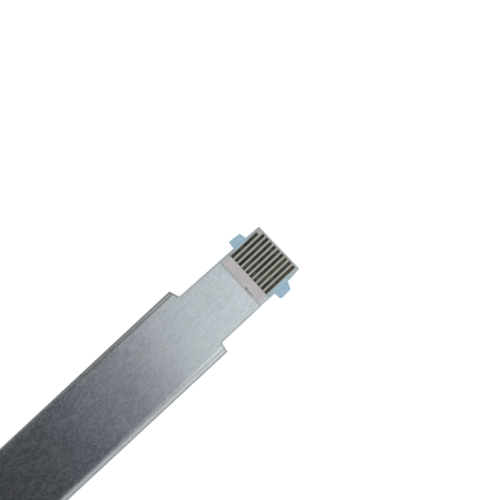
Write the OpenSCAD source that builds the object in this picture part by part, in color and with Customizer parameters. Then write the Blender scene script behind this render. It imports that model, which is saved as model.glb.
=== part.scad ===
// Shielded flat flex cable. Flat conductors lie side by side between two clear films,
// a foil shield is laminated over and under them, and each end is die cut to a narrow
// tongue whose top film is left off, so that the conductors show as contacts. A blue
// stiffener with two locking ears backs each tongue.
//
// X runs along the cable, Y across it and Z up. The origin is on the surface that the
// cable lies on, under its middle. End A is at +X, and the contacts face up.

/* [Conductors] */
// Number of conductors side by side
ways = 10; // [4:1:16]
// Spacing from one conductor to the next
pitch = 0.5; // [0.4:0.05:1]
// Width of one conductor
conductor_w = 0.3; // [0.2:0.01:0.36]
// Thickness of one conductor
conductor_t = 0.05; // [0.03:0.005:0.1]
// Distance from the tip of the tongue to the end of the contacts
tip_setback = 0.18; // [0.04:0.02:0.5]
// How much further back the first conductor ends at end A
short_by = 0.38; // [0:0.02:1]

/* [Lengths] */
// Whole length of the cable, tip to tip
cable_len = 80; // [40:1:200]
// Length of the narrow tongue, from its tip to the inner corner of the shoulder
tongue_len = 9.85; // [8:0.05:14]
// How far the shoulder's cut leans back from its inner to its outer corner
shoulder_lean = 0.25; // [0.05:0.01:0.8]
// Radius that the die leaves in the shoulder's inner corner
shoulder_r = 0.15; // [0.05:0.01:0.3]
// Length of the bare contacts, where the top film is left off
contact_len = 3.85; // [2.5:0.05:5]
// Length of top film that shows between the contacts and the shield
band_len = 1.05; // [0.3:0.05:2]

/* [Widths] */
// Film beside the outer conductors at the root of the tongue
tongue_margin = 0.46; // [0.3:0.01:0.6]
// Film beside the outer conductors at the tip of the tongue
tip_margin = 0.28; // [0.1:0.01:0.4]
// Film beside the outer conductors along the shielded body
core_margin = 0.75; // [0.5:0.01:1]
// Width over which the shield drapes from the film down to its flange
drape_w = 0.4; // [0.2:0.01:0.6]
// Width of the flange where the two shields are bonded to each other
flange_w = 0.31; // [0.2:0.01:0.8]

/* [Thicknesses] */
// Thickness of each insulating film
film_t = 0.06; // [0.025:0.005:0.1]
// Thickness of each shield
foil_t = 0.06; // [0.03:0.005:0.1]
// Thickness of the stiffener
stiffener_t = 0.19; // [0.15:0.01:0.3]
// How far the outer edge of the flange droops below the bond line
flange_droop = 0.15; // [0:0.01:0.15]

/* [Stiffener] */
// Length of the stiffener, from the tip of the tongue
stiffener_len = 7; // [5:0.1:7.5]
// Space between the stiffener and the lower shield
shield_gap = 0.3; // [0.1:0.05:1]
// Distance from the tip of the tongue to the front of the ears
ear_setback = 1.65; // [0.8:0.05:2]
// Length of an ear where it meets the tongue
ear_root_len = 1.55; // [1:0.05:2.4]
// Width that an ear stands out from the tongue
ear_out = 0.84; // [0.4:0.02:1]
// How far the front edge of an ear leans back
ear_front_lean = 0.2; // [0:0.01:0.4]
// How far the rear edge of an ear leans forward
ear_rear_lean = 0.05; // [0:0.01:0.3]
// Corner radius of the ears
ear_r = 0.16; // [0.05:0.01:0.25]

/* [Hidden] */
// Facets in each curved stretch
drape_steps = 10;
flange_steps = 4;
corner_steps = 6;

// Heights of the layers, from the underside of the stiffener up
film_z = stiffener_t;
conductor_z = film_z + film_t;
cover_z = conductor_z + conductor_t + film_t;
bond_z = (film_z + cover_z) / 2;
stack_h = cover_z + foil_t;

// Half widths, from the middle of the cable out
row_half = (ways - 1) * pitch / 2 + conductor_w / 2;
tip_half = row_half + tip_margin;
tongue_half = row_half + tongue_margin;
core_half = row_half + core_margin;
crease_half = core_half + drape_w;
shield_half = crease_half + flange_w;

// Places along the cable, from its middle to end A
tip_x = cable_len / 2;
root_x = tip_x - tongue_len;
shoulder_x = root_x - shoulder_lean;
cover_x = tip_x - contact_len;
upper_shield_x = cover_x - band_len;
stiffener_x = tip_x - stiffener_len;
lower_shield_x = stiffener_x - shield_gap;

// Corners of one ear, on the +Y side of end A
ear_y = tip_half + ear_out;
ear_front_x = tip_x - ear_setback;
ear_rear_x = ear_front_x - ear_root_len;

CONDUCTORS = [for (i = [1:ways]) str("conductor_", i)];

// ---- Plain helpers ----

function backwards(list) = [for (k = [len(list) - 1:-1:0]) list[k]];
function mirror_x(points) = [for (p = points) [-p.x, p.y]];
function mirror_y(points) = [for (p = points) [p.x, -p.y]];
function unit(v) = v / norm(v);

// Points round a corner p between its neighbours a and b, on an arc of radius r
function fillet(a, p, b, r) =
    let (
        u = unit(a - p),
        w = unit(b - p),
        half_angle = acos(u * w) / 2,
        centre = p + unit(u + w) * r / sin(half_angle),
        from = p + u * r / tan(half_angle) - centre,
        to = p + w * r / tan(half_angle) - centre
    )
    [for (k = [0:corner_steps]) centre + r * unit(from + (to - from) * k / corner_steps)];

// ---- Outline and section ----

// Place of conductor i across the cable, counted from the +Y edge
function conductor_y(i) = (ways + 1 - 2 * i) * pitch / 2;

// Plan of the whole cable as the die cuts it: a tongue, two shoulders, a tongue
module die_cut() {
    tip = [tip_x, tip_half];
    root = [root_x, tongue_half];
    shoulder = [shoulder_x, shield_half];
    quarter = concat([tip], fillet(tip, root, shoulder, shoulder_r), [shoulder]);
    side = concat(quarter, backwards(mirror_x(quarter)));
    polygon(concat(side, backwards(mirror_y(side))));
}

// Part of the plan between two places along the cable, no wider than the film
module film_strip(from_x, to_x) {
    intersection() {
        die_cut();
        translate([from_x, -core_half]) square([to_x - from_x, 2 * core_half]);
    }
}

// Height of a shield's inner face, y away from the middle. It is flat over the film and
// eases down to the bond line at the crease, and all that overhangs the film droops
function inner_z(y, flat_z) =
    let (
        drape = min((y - core_half) / drape_w, 1),
        overhang = (y - core_half) / (drape_w + flange_w)
    )
    bond_z + (flat_z - bond_z) * (1 + cos(180 * drape)) / 2 - flange_droop * pow(overhang, 2);

// Distances from the middle at which the shield's section has a point
section_ys = concat(
    [for (k = [0:drape_steps]) core_half + drape_w * k / drape_steps],
    [for (k = [1:flange_steps]) crease_half + flange_w * k / flange_steps]
);

// Section of a shield, whose inner face lies on the film at flat_z and whose foil is
// built outwards by foil_out, upwards or downwards
module shield_section(flat_z, foil_out) {
    half = [for (y = section_ys) [y, inner_z(y, flat_z)]];
    inner = concat(backwards(mirror_x(half)), half);
    polygon(concat(inner, backwards([for (p = inner) p + [0, foil_out]])));
}

// Foil shield pressed to that section and die cut to the plan
module shield(flat_z, foil_out, end_x) {
    intersection() {
        translate([-end_x, 0, 0]) rotate([90, 0, 90])
            linear_extrude(2 * end_x) shield_section(flat_z, foil_out);
        linear_extrude(stack_h) die_cut();
    }
}

// ---- Pieces ----

// Flat copper conductor. The first one ends short at end A
module conductor(i) {
    front_x = tip_x - tip_setback - (i == 1 ? short_by : 0);
    rear_x = tip_setback - tip_x;
    color([0.36, 0.35, 0.31])
        translate([rear_x, conductor_y(i) - conductor_w / 2, conductor_z])
            cube([front_x - rear_x, conductor_w, conductor_t]);
}

// Channel that a conductor fills between the films
module channel(i) {
    translate([-tip_x, conductor_y(i) - conductor_w / 2, film_z])
        cube([cable_len, conductor_w, film_t + conductor_t]);
}

// Lower film, which carries the contacts out to both tips
module insulation_bottom() {
    color([0.82, 0.82, 0.79])
        translate([0, 0, film_z]) linear_extrude(film_t) film_strip(-tip_x, tip_x);
}

// Upper film, pressed down round every conductor and left off over the contacts
module insulation_top() {
    color([0.80, 0.77, 0.78])
        difference() {
            translate([0, 0, conductor_z])
                linear_extrude(conductor_t + film_t) film_strip(-cover_x, cover_x);
            for (i = [1:ways]) channel(i);
        }
}

// Lower shield, which stops short of both stiffeners
module shield_bottom() {
    color([0.62, 0.64, 0.66]) shield(film_z, -foil_t, lower_shield_x);
}

// Upper shield, which leaves a band of the top film bare at both tongues
module shield_top() {
    color([0.72, 0.75, 0.78]) shield(cover_z, foil_t, upper_shield_x);
}

// Plan of the two locking ears at end A, one bar from ear to ear
module ear_bar() {
    root_front = [ear_front_x, tip_half];
    corner_front = [ear_front_x - ear_front_lean, ear_y];
    corner_rear = [ear_rear_x + ear_rear_lean, ear_y];
    root_rear = [ear_rear_x, tip_half];
    ear = concat(
        [root_front],
        fillet(root_front, corner_front, corner_rear, ear_r),
        fillet(corner_front, corner_rear, root_rear, ear_r),
        [root_rear]
    );
    polygon(concat(ear, backwards(mirror_y(ear))));
}

// Stiffener under the tongue at end A, with an ear on each side
module stiffener() {
    color([0.62, 0.76, 0.84])
        linear_extrude(stiffener_t) {
            film_strip(stiffener_x, tip_x);
            ear_bar();
        }
}

// ---- Assembly ----

for (i = [1:ways]) conductor(i);
insulation_bottom();
insulation_top();
shield_bottom();
shield_top();
stiffener();  // stiffener_a
mirror([1, 0, 0]) stiffener();  // stiffener_b
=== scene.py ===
"""Looks of a shielded flat flex cable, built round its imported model.

The cable lies along X with end A at +X and its contacts facing up. Every length here is in metres
unless its name ends in _mm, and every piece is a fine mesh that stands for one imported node.

Names of fields end alike: _h is a height, _w a width, _len a length, _half half a width, _r a
radius, _y a place across the cable, _ease a distance over which something fades, and _step how
far apart the lines of a mesh are at most.
"""

import logging
import math
from dataclasses import dataclass, field
from enum import Enum
from functools import cached_property
from typing import Callable, Sequence

import bpy
import numpy as np
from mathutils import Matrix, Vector


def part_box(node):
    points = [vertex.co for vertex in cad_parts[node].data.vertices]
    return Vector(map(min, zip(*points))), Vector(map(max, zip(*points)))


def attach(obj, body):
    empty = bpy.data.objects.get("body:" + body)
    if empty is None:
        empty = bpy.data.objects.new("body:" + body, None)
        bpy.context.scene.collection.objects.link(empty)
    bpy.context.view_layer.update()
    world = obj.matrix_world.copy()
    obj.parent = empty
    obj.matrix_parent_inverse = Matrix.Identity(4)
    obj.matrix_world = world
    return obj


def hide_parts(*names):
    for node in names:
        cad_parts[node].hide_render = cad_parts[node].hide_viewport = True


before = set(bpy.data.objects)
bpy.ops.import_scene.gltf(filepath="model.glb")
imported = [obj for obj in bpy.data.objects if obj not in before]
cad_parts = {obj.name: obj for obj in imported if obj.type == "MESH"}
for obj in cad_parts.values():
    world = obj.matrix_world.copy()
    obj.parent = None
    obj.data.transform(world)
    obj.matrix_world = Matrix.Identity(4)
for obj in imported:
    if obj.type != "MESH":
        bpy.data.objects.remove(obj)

LOG = logging.getLogger("flat_flex_cable")
MM = 0.001
ROOT = "root"
CUT_DISTANCE = "cut_distance_mm"
CONTACT_WEAR = "contact_wear"
CONDUCTOR = "conductor_"
WHITE = (1.0, 1.0, 1.0)

# How far in from a cut edge every sheet has points, so that its edge can be rounded.
RIM_INSETS = (0.0, 0.006 * MM, 0.018 * MM, 0.036 * MM, 0.060 * MM)
# Points across a sheet that are nearer than this are one.
SAME_PLACE = 1e-9
# The slanting cut across the tips: the width it crosses, and where along the cable it starts to
# tell and over what length it gains its full effect.
CUT_SPAN = 5.3 * MM
SKEW_FROM = 39.0 * MM
SKEW_EASE = 1.0 * MM

Colour = tuple[float, float, float]
# A number for each point, from its places along and across the cable.
HeightField = Callable[[np.ndarray, np.ndarray], np.ndarray]
# What a node's input can be given: itself a value, or a socket to wire it to.
Socket = bpy.types.NodeSocket
Amount = float | Socket
Tint = Colour | Socket
Inputs = dict[str | int, object]
# Where a ramp starts and stops, and the values it goes from and to.
Ramp = tuple[float, float, float, float]


class Side(Enum):
    """Side of the cable that a thing lies on, by the sign of Y."""

    FIRST_CONDUCTOR = 1
    LAST_CONDUCTOR = -1


class End(Enum):
    """End of the cable, by the sign of X."""

    A = 1
    B = -1


class Slot(Enum):
    """Material slots of the record."""

    FOIL = "shield_foil"
    FILM = "clear_film"
    CONTACT = "tinned_contact"
    STIFFENER = "blue_stiffener"


# ---------------------------------------------------------------------------
# Shapes
# ---------------------------------------------------------------------------


def fillet(before: Vector, corner: Vector, after: Vector, radius: float, steps: int) -> list[Vector]:
    """Points round a corner on a tangent arc.

    Args:
        before: the point before the corner.
        corner: the corner that is rounded.
        after: the point after the corner.
        radius: radius of the arc.
        steps: number of straight stretches in the arc.

    Returns:
        The arc's points, from the side of before to the side of after.
    """
    back = (before - corner).normalized()
    onward = (after - corner).normalized()
    half_angle = back.angle(onward) / 2
    centre = corner + (back + onward).normalized() * radius / math.sin(half_angle)
    start = corner + back * radius / math.tan(half_angle) - centre
    stop = corner + onward * radius / math.tan(half_angle) - centre
    return [centre + radius * start.lerp(stop, k / steps).normalized() for k in range(steps + 1)]


@dataclass(frozen=True)
class EdgeLine:
    """Cut edge of one side of the cable, which is alike at both ends.

    From the tip the edge runs straight to a knee, then to the root of the tongue, and out round
    an inner corner to the square shoulder of the wide body.
    """

    tip: tuple[float, float]
    knee: tuple[float, float]
    root: tuple[float, float]
    shoulder: tuple[float, float]
    corner_r: float = 0.15 * MM
    corner_steps: int = 8
    shoulder_points: int = 8

    def points(self) -> list[Vector]:
        """Points of the edge from the middle of the cable out to the tip.

        Returns:
            The points, with X and Y positive.
        """
        tip, knee, root, shoulder = (Vector(p) for p in (self.tip, self.knee, self.root, self.shoulder))
        arc = fillet(shoulder, root, knee, self.corner_r, self.corner_steps)
        return [Vector((0.0, shoulder.y)), shoulder, *arc, knee, tip]

    def reach(self, x: np.ndarray) -> np.ndarray:
        """Distance from the cable's middle line to the edge at each place along the cable."""
        points = self.points()
        return np.interp(np.abs(x), [p.x for p in points], [p.y for p in points])

    def distance(self, x: np.ndarray, y: np.ndarray) -> np.ndarray:
        """Distance from each point to the nearest stretch of the edge or the cut tip.

        Args:
            x: places along the cable.
            y: places across it, on this edge's side.

        Returns:
            The distances.
        """
        points = [*self.points(), Vector((self.tip[0], 0.0))]
        ax, ay = np.abs(x), np.abs(y)
        nearest = np.full(np.broadcast(ax, ay).shape, np.inf)
        for a, b in zip(points, points[1:]):
            run = b - a
            share = ((ax - a.x) * run.x + (ay - a.y) * run.y) / run.length_squared
            share = np.clip(share, 0.0, 1.0)
            nearest = np.minimum(nearest, np.hypot(ax - a.x - share * run.x, ay - a.y - share * run.y))
        return nearest

    def stations(self) -> list[float]:
        """Places along the cable where the edge turns.

        Returns:
            The places, with some more along the shoulder.
        """
        turns = [p.x for p in self.points()[1:-1]]
        along = np.linspace(self.shoulder[0], turns[1], self.shoulder_points)
        return [*turns, *along[1:-1].tolist()]


@dataclass(frozen=True)
class DieCut:
    """Plan of the whole cable: an edge line on each side."""

    first: EdgeLine
    last: EdgeLine

    def line(self, side: Side) -> EdgeLine:
        """The edge line of one side."""
        return self.first if side is Side.FIRST_CONDUCTOR else self.last

    def reach(self, x: np.ndarray, side: Side) -> np.ndarray:
        """Distance from the middle line to the edge of a side at each place along the cable."""
        return self.line(side).reach(x)

    def distance(self, x: np.ndarray, y: np.ndarray) -> np.ndarray:
        """Distance from each point to the nearest cut edge of its own side."""
        return np.where(y > 0, self.first.distance(x, y), self.last.distance(x, y))

    def stations(self) -> list[float]:
        """Places along the cable where either edge turns."""
        return [*self.first.stations(), *self.last.stations()]


@dataclass(frozen=True)
class Ripple:
    """Faint waves that a sheet keeps, as a sum of plane waves with crests mostly across the cable."""

    seed: int
    height: float
    shortest: float
    longest: float
    waves: int = 14
    turn: float = 0.7

    def __call__(self, x: np.ndarray, y: np.ndarray) -> np.ndarray:
        """Height of the ripple at each point.

        Args:
            x: places along the cable.
            y: places across it.

        Returns:
            The heights, about nought.
        """
        random = np.random.default_rng(self.seed)
        total = np.zeros(np.broadcast(x, y).shape)
        for _ in range(self.waves):
            length = random.uniform(self.shortest, self.longest)
            heading = random.normal(0.0, self.turn)
            phase = random.uniform(0.0, math.tau)
            along = x * math.cos(heading) + y * math.sin(heading)
            total += np.sin(math.tau * along / length + phase) * length / self.longest
        return total * self.height / math.sqrt(self.waves)


@dataclass
class ThinSheet:
    """A closed sheet over a plan: rows of points across the cable at stations along it.

    The lines across keep their place until the outline reaches them. From there out they join
    the outermost line, and the rim lines follow the cut edge.
    """

    name: str
    stations: np.ndarray
    lines: np.ndarray
    reach: Callable[[np.ndarray, Side], np.ndarray]
    top: HeightField
    bottom: HeightField
    distance: HeightField
    tip_skew: float = 0.0

    def _half_rows(self, side: Side) -> np.ndarray:
        """Distance from the middle line of every point on one side.

        Args:
            side: the side of the sheet.

        Returns:
            One row for each station, from the middle out to the rim.
        """
        reach = self.reach(self.stations, side)[:, None]
        rim = np.array(RIM_INSETS[::-1])[None, :]
        inner = np.minimum(self.lines[None, :], reach - rim[0, 0])
        return np.concatenate([inner, reach - rim], axis=1)

    def plan(self) -> tuple[np.ndarray, np.ndarray]:
        """Place of every point of the sheet, seen from above.

        Returns:
            The X and the Y of the points, one row for each station.
        """
        last, first = self._half_rows(Side.LAST_CONDUCTOR), self._half_rows(Side.FIRST_CONDUCTOR)
        y = np.concatenate([-last[:, ::-1], first], axis=1)
        return np.broadcast_to(self.stations[:, None], y.shape), y

    def object(self) -> bpy.types.Object:
        """Makes the closed sheet: both faces and a wall all round.

        Returns:
            The smooth shaded object. Each point holds its distance from the cut edge.
        """
        x, y = self.plan()
        rows, columns = y.shape
        fresh = np.ones((rows, columns), bool)
        fresh[:, 1:] = np.diff(y, axis=1) > SAME_PLACE
        index = np.cumsum(fresh.ravel()).reshape(rows, columns) - 1
        count = int(index[-1, -1]) + 1
        picked = fresh.ravel()
        flat_x, flat_y = x.ravel()[picked], y.ravel()[picked]
        placed_x = flat_x - skewed_by(flat_x, flat_y, self.tip_skew)
        upper = np.stack([placed_x, flat_y, self.top(flat_x, flat_y)], axis=1)
        lower = np.stack([placed_x, flat_y, self.bottom(flat_x, flat_y)], axis=1)

        faces: list[tuple[int, ...]] = []
        for i in range(rows - 1):
            for j in range(columns - 1):
                loop = (index[i, j], index[i + 1, j], index[i + 1, j + 1], index[i, j + 1])
                corners = tuple(dict.fromkeys(int(k) for k in loop))
                if len(corners) > 2:
                    faces.append(corners)
                    faces.append(tuple(k + count for k in reversed(corners)))
        for edge, outward in (
            (index[:, 0], True),
            (index[:, -1], False),
            (index[0, :], False),
            (index[-1, :], True),
        ):
            line = [int(k) for k in dict.fromkeys(edge.tolist())]
            for a, b in zip(line, line[1:]):
                wall = (a + count, b + count, b, a)
                faces.append(wall if outward else wall[::-1])

        mesh = new_mesh(self.name, np.concatenate([upper, lower]).tolist(), faces)
        mark_points(mesh, CUT_DISTANCE, np.tile(self.distance(flat_x, flat_y) / MM, 2))
        return finished_object(self.name, mesh)


def new_mesh(name: str, points: Sequence[Sequence[float]], faces: Sequence[Sequence[int]]) -> bpy.types.Mesh:
    """A mesh from its points and faces.

    Args:
        name: name of the mesh.
        points: X, Y and Z of each point.
        faces: the points of each face, anticlockwise seen from outside.

    Returns:
        The new mesh.
    """
    mesh = bpy.data.meshes.new(name)
    mesh.from_pydata(points, [], faces)
    return mesh


def linked(name: str, data: bpy.types.ID) -> bpy.types.Object:
    """An object in the scene, made from a mesh, a lamp or a camera.

    Args:
        name: name of the object.
        data: the mesh, the lamp or the camera.

    Returns:
        The new object.
    """
    made = bpy.data.objects.new(name, data)
    bpy.context.scene.collection.objects.link(made)
    return made


def mark_points(mesh: bpy.types.Mesh, label: str, values: Sequence[float] | np.ndarray) -> None:
    """Gives each point of a mesh a number that materials can read.

    Args:
        mesh: the mesh.
        label: name of the numbers.
        values: one number for each point.
    """
    layer = mesh.attributes.new(label, "FLOAT", "POINT")
    layer.data.foreach_set("value", np.asarray(values, np.float32))


def finished_object(name: str, mesh: bpy.types.Mesh, sharp_deg: float = 40.0) -> bpy.types.Object:
    """Links a mesh as an object, smooth but for the edges sharper than an angle.

    Args:
        name: name of the piece.
        mesh: its mesh, in the row frame.
        sharp_deg: an edge that turns more than this stays sharp.

    Returns:
        The linked object.
    """
    mesh.validate()
    mesh.shade_smooth()
    mesh.set_sharp_from_angle(angle=math.radians(sharp_deg))
    return linked(name, mesh)


def roll_off(distance: np.ndarray, depth: float, width: float) -> np.ndarray:
    """How far a die has pressed a surface down near its cut edge, as a quarter of an ellipse."""
    share = np.clip(1.0 - distance / width, 0.0, 1.0)
    return depth * (1.0 - np.sqrt(1.0 - share**2))


def skewed_by(x: np.ndarray, y: np.ndarray, skew: float) -> np.ndarray:
    """How far a slanting cut across the tips moves each point back, mostly on the first side.

    Args:
        x: places along the cable.
        y: places across it.
        skew: how much further back the cut is on the first conductor's side than on the last's.

    Returns:
        The distance to take from X.
    """
    share = np.clip(0.5 + y / CUT_SPAN, 0.0, 1.0)
    ease = np.clip((np.abs(x) - SKEW_FROM) / SKEW_EASE, 0.0, 1.0)
    return np.sign(x) * skew * share * ease


def spaced(start: float, stop: float, step: float) -> np.ndarray:
    """Evenly spaced values from start to stop, at most a step apart."""
    return np.linspace(start, stop, max(2, math.ceil(abs(stop - start) / step) + 1))


def in_order(values: Sequence[float] | np.ndarray, decimals: int = 9) -> np.ndarray:
    """The values in order, each once, where those that round alike are one."""
    return np.unique(np.round(values, decimals))


def both_ends(values: Sequence[float]) -> np.ndarray:
    """The values and their opposites in order, each once."""
    return in_order(np.concatenate([np.asarray(values), -np.asarray(values)]))


# ---------------------------------------------------------------------------
# Materials
# ---------------------------------------------------------------------------


class NodeBench:
    """A node tree with short calls to place and wire nodes."""

    def __init__(self, tree: bpy.types.NodeTree) -> None:
        """Starts on a tree and clears it.

        Args:
            tree: the tree of a material, a world or a group.
        """
        self.tree = tree
        self.tree.nodes.clear()

    def fill(self, node: bpy.types.Node, values: Inputs) -> None:
        """Sets or wires the inputs of a node.

        Args:
            node: the node.
            values: input name or number to a value, or to a socket to wire it to.
        """
        for key, value in values.items():
            if isinstance(value, Socket):
                self.tree.links.new(value, node.inputs[key])
            else:
                node.inputs[key].default_value = value

    def add(self, kind: str, values: Inputs | None = None, **settings: object) -> bpy.types.Node:
        """Places a node.

        Args:
            kind: the node's type, without its ShaderNode prefix.
            values: input name or number to a value, or to a socket to wire it to.
            **settings: properties of the node itself.

        Returns:
            The new node.
        """
        prefix = "" if kind.startswith("Node") else "ShaderNode"
        node = self.tree.nodes.new(prefix + kind)
        for key, value in settings.items():
            setattr(node, key, value)
        self.fill(node, values or {})
        return node

    def group(self, tree: bpy.types.NodeTree, values: Inputs) -> Socket:
        """Places a node group and gives its first output."""
        return self.add("Group", values, node_tree=tree).outputs[0]

    @cached_property
    def place(self) -> bpy.types.NodeOutputs:
        """The X, Y and Z of each point in the row frame."""
        return self.add("SeparateXYZ", {0: self.add("TexCoord").outputs["Object"]}).outputs

    def noise(self, place: Socket, scale: Socket, detail: Amount, roughness: float) -> Socket:
        """A noise about a half, with its number of waves in a metre and how it breaks up."""
        values = {"Vector": place, "Scale": scale, "Detail": detail, "Roughness": roughness}
        return self.add("TexNoise", values).outputs[0]

    def attribute(self, name: str) -> Socket:
        """A number that the mesh holds for each point."""
        return self.add("Attribute", attribute_name=name).outputs["Fac"]

    def math(self, operation: str, a: Amount, b: Amount = 0.0, clamp: bool = False) -> Socket:
        """Result of a maths node on two values."""
        return self.add("Math", {0: a, 1: b}, operation=operation, use_clamp=clamp).outputs[0]

    def plus(self, a: Amount, b: Amount, clamp: bool = False) -> Socket:
        """Sum of two values."""
        return self.math("ADD", a, b, clamp)

    def minus(self, a: Amount, b: Amount, clamp: bool = False) -> Socket:
        """Difference of two values."""
        return self.math("SUBTRACT", a, b, clamp)

    def times(self, a: Amount, b: Amount) -> Socket:
        """Product of two values."""
        return self.math("MULTIPLY", a, b)

    def size(self, value: Amount) -> Socket:
        """A value without its sign."""
        return self.math("ABSOLUTE", value)

    def ramp(self, value: Amount, low: Amount, high: Amount, to_low: float, to_high: float) -> Socket:
        """A value taken smoothly from one range to another and held at its ends."""
        ranges = {"Value": value, "From Min": low, "From Max": high, "To Min": to_low, "To Max": to_high}
        return self.add("MapRange", ranges, interpolation_type="SMOOTHSTEP").outputs["Result"]

    def near(self, value: Amount, line: Amount, half: float, core: float) -> Socket:
        """Mask of a soft line.

        Args:
            value: place across the line.
            line: place of the line.
            half: half the line's width.
            core: share of the half width that is solid.

        Returns:
            One on the line, and nought beside it.
        """
        return self.ramp(self.size(self.minus(value, line)), half * core, half, 1.0, 0.0)

    def blend(self, factor: Amount, a: Tint, b: Tint, mode: str = "MIX") -> Socket:
        """Mix of two colours or colour sockets.

        Args:
            factor: share of the second colour, from nought to one.
            a: the first colour.
            b: the second colour.
            mode: how the second colour acts on the first.

        Returns:
            The mixed colour.
        """
        node = self.add("Mix", {"Factor": factor}, data_type="RGBA", blend_type=mode)
        first, second = (value if isinstance(value, Socket) else (*value, 1.0) for value in (a, b))
        self.fill(node, {6: first, 7: second})
        return node.outputs[2]


class Effects:
    """Surface effects that several finishes share, each a node group built once."""

    GRAIN_BREAKUP = 0.62
    BLOTCH_BREAKUP = 0.55
    BLOTCH_DETAIL = 3.0

    def __init__(self) -> None:
        """Builds the groups."""
        self.grain = self._grain()
        self.blotches = self._blotches()
        self.cut_edge = self._cut_edge()

    @staticmethod
    def _start(
        name: str, inputs: dict[str, float], output: str
    ) -> tuple[NodeBench, bpy.types.NodeOutputs, bpy.types.Node]:
        """Starts a group of float inputs and one float output.

        Args:
            name: name of the group.
            inputs: input name to its default.
            output: name of the output.

        Returns:
            The bench, what the group is given, and its output node.
        """
        tree = bpy.data.node_groups.new(name, "ShaderNodeTree")
        for label, default in inputs.items():
            socket = tree.interface.new_socket(name=label, in_out="INPUT", socket_type="NodeSocketFloat")
            socket.default_value = default
        tree.interface.new_socket(name=output, in_out="OUTPUT", socket_type="NodeSocketFloat")
        bench = NodeBench(tree)
        return bench, bench.add("NodeGroupInput").outputs, bench.add("NodeGroupOutput")

    def _grain(self) -> bpy.types.NodeTree:
        """Fine streaks along the cable, as a noise that is stretched along X.

        Returns:
            The group, whose value varies about a half.
        """
        defaults = {"Per Metre": 9000.0, "Stretch": 8.0, "Detail": 4.0}
        bench, given, result = self._start("rolled grain", defaults, "Grain")
        along = bench.math("DIVIDE", bench.place["X"], given["Stretch"])
        squeezed = bench.add("CombineXYZ", {0: along, 1: bench.place["Y"], 2: bench.place["Z"]}).outputs[0]
        grain = bench.noise(squeezed, given["Per Metre"], given["Detail"], self.GRAIN_BREAKUP)
        bench.fill(result, {"Grain": grain})
        return bench.tree

    def _blotches(self) -> bpy.types.NodeTree:
        """Soft patches of uneven size, as a coarse noise with its middle spread out.

        Returns:
            The group, whose mask goes from nought to one.
        """
        defaults = {"Per Metre": 600.0, "Low": 0.35, "High": 0.65, "Shift": 0.0}
        bench, given, result = self._start("blotches", defaults, "Mask")
        place = bench.add("TexCoord").outputs["Object"]
        moved = bench.add("VectorMath", {0: place, 1: given["Shift"]}, operation="ADD").outputs[0]
        noise = bench.noise(moved, given["Per Metre"], self.BLOTCH_DETAIL, self.BLOTCH_BREAKUP)
        bench.fill(result, {"Mask": bench.ramp(noise, given["Low"], given["High"], 0.0, 1.0)})
        return bench.tree

    def _cut_edge(self) -> bpy.types.NodeTree:
        """Rim of a sheet, from the distance that each point of its mesh holds.

        Returns:
            The group, whose mask is one on the edge and nought from a width inwards.
        """
        bench, given, result = self._start("cut edge", {"Width mm": 0.08}, "Mask")
        share = bench.math("DIVIDE", bench.attribute(CUT_DISTANCE), given["Width mm"])
        bench.fill(result, {"Mask": bench.minus(1.0, share, clamp=True)})
        return bench.tree


class SurfaceBench(NodeBench):
    """The bench of a material, with the shared effects at hand."""

    def __init__(self, material: bpy.types.Material, effects: Effects) -> None:
        """Starts on a material.

        Args:
            material: the material, with its nodes switched on.
            effects: the shared node groups.
        """
        super().__init__(material.node_tree)
        self.effects = effects

    def grain(self, per_metre: float, stretch: float, detail: float) -> Socket:
        """Fine streaks along the cable.

        Args:
            per_metre: number of grains in a metre across the cable.
            stretch: how many times longer they are along it.
            detail: how finely they are broken up.

        Returns:
            A value that varies about a half.
        """
        values = {"Per Metre": per_metre, "Stretch": stretch, "Detail": detail}
        return self.group(self.effects.grain, values)

    def blotches(self, per_metre: float, low: float, high: float, shift: float) -> Socket:
        """Soft patches of uneven size.

        Args:
            per_metre: number of patches in a metre.
            low: noise at which a patch begins.
            high: noise at which it is full.
            shift: distance that moves the pattern, so that no two are alike.

        Returns:
            A mask from nought to one.
        """
        values = {"Per Metre": per_metre, "Low": low, "High": high, "Shift": shift}
        return self.group(self.effects.blotches, values)

    def cut_edge(self, width_mm: float) -> Socket:
        """Rim of a sheet: one on its cut edge, and nought from a width inwards."""
        return self.group(self.effects.cut_edge, {"Width mm": width_mm})


@dataclass(frozen=True)
class Relief:
    """How a fine grain shows in the gloss and the relief of a surface."""

    smoother: float
    rougher: float
    strength: float
    depth: float
    spread: tuple[float, float] = (0.3, 0.7)

    def inputs(self, bench: NodeBench, grain: Socket, roughness: float) -> Inputs:
        """What a grain gives the shader.

        Args:
            bench: the bench of the material.
            grain: the grain, about a half.
            roughness: the surface's own roughness.

        Returns:
            The shader's roughness and normal.
        """
        rough = bench.ramp(grain, *self.spread, roughness - self.smoother, roughness + self.rougher)
        bump = bench.add("Bump", {"Strength": self.strength, "Distance": self.depth, "Height": grain})
        return {"Roughness": rough, "Normal": bump.outputs[0]}


@dataclass(frozen=True)
class Finish:
    """What every finish has: a name, a colour and a gloss."""

    name: str
    colour: Colour
    roughness: float

    def material(self, effects: Effects) -> bpy.types.Material:
        """The finish as a material.

        Args:
            effects: the shared node groups.

        Returns:
            The new material.
        """
        material = bpy.data.materials.new(self.name)
        material.use_nodes = True
        material.diffuse_color = (*self.colour, 1.0)
        bench = SurfaceBench(material, effects)
        plain = {"Base Color": (*self.colour, 1.0), "Roughness": self.roughness}
        shader = bench.add("BsdfPrincipled", plain)
        bench.fill(shader, self.surface(bench))
        bench.add("OutputMaterial", {"Surface": shader.outputs[0]})
        return material

    def surface(self, bench: SurfaceBench) -> Inputs:
        """What the shader is given beyond a plain colour and gloss, which is nothing at first."""
        return {}


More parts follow.
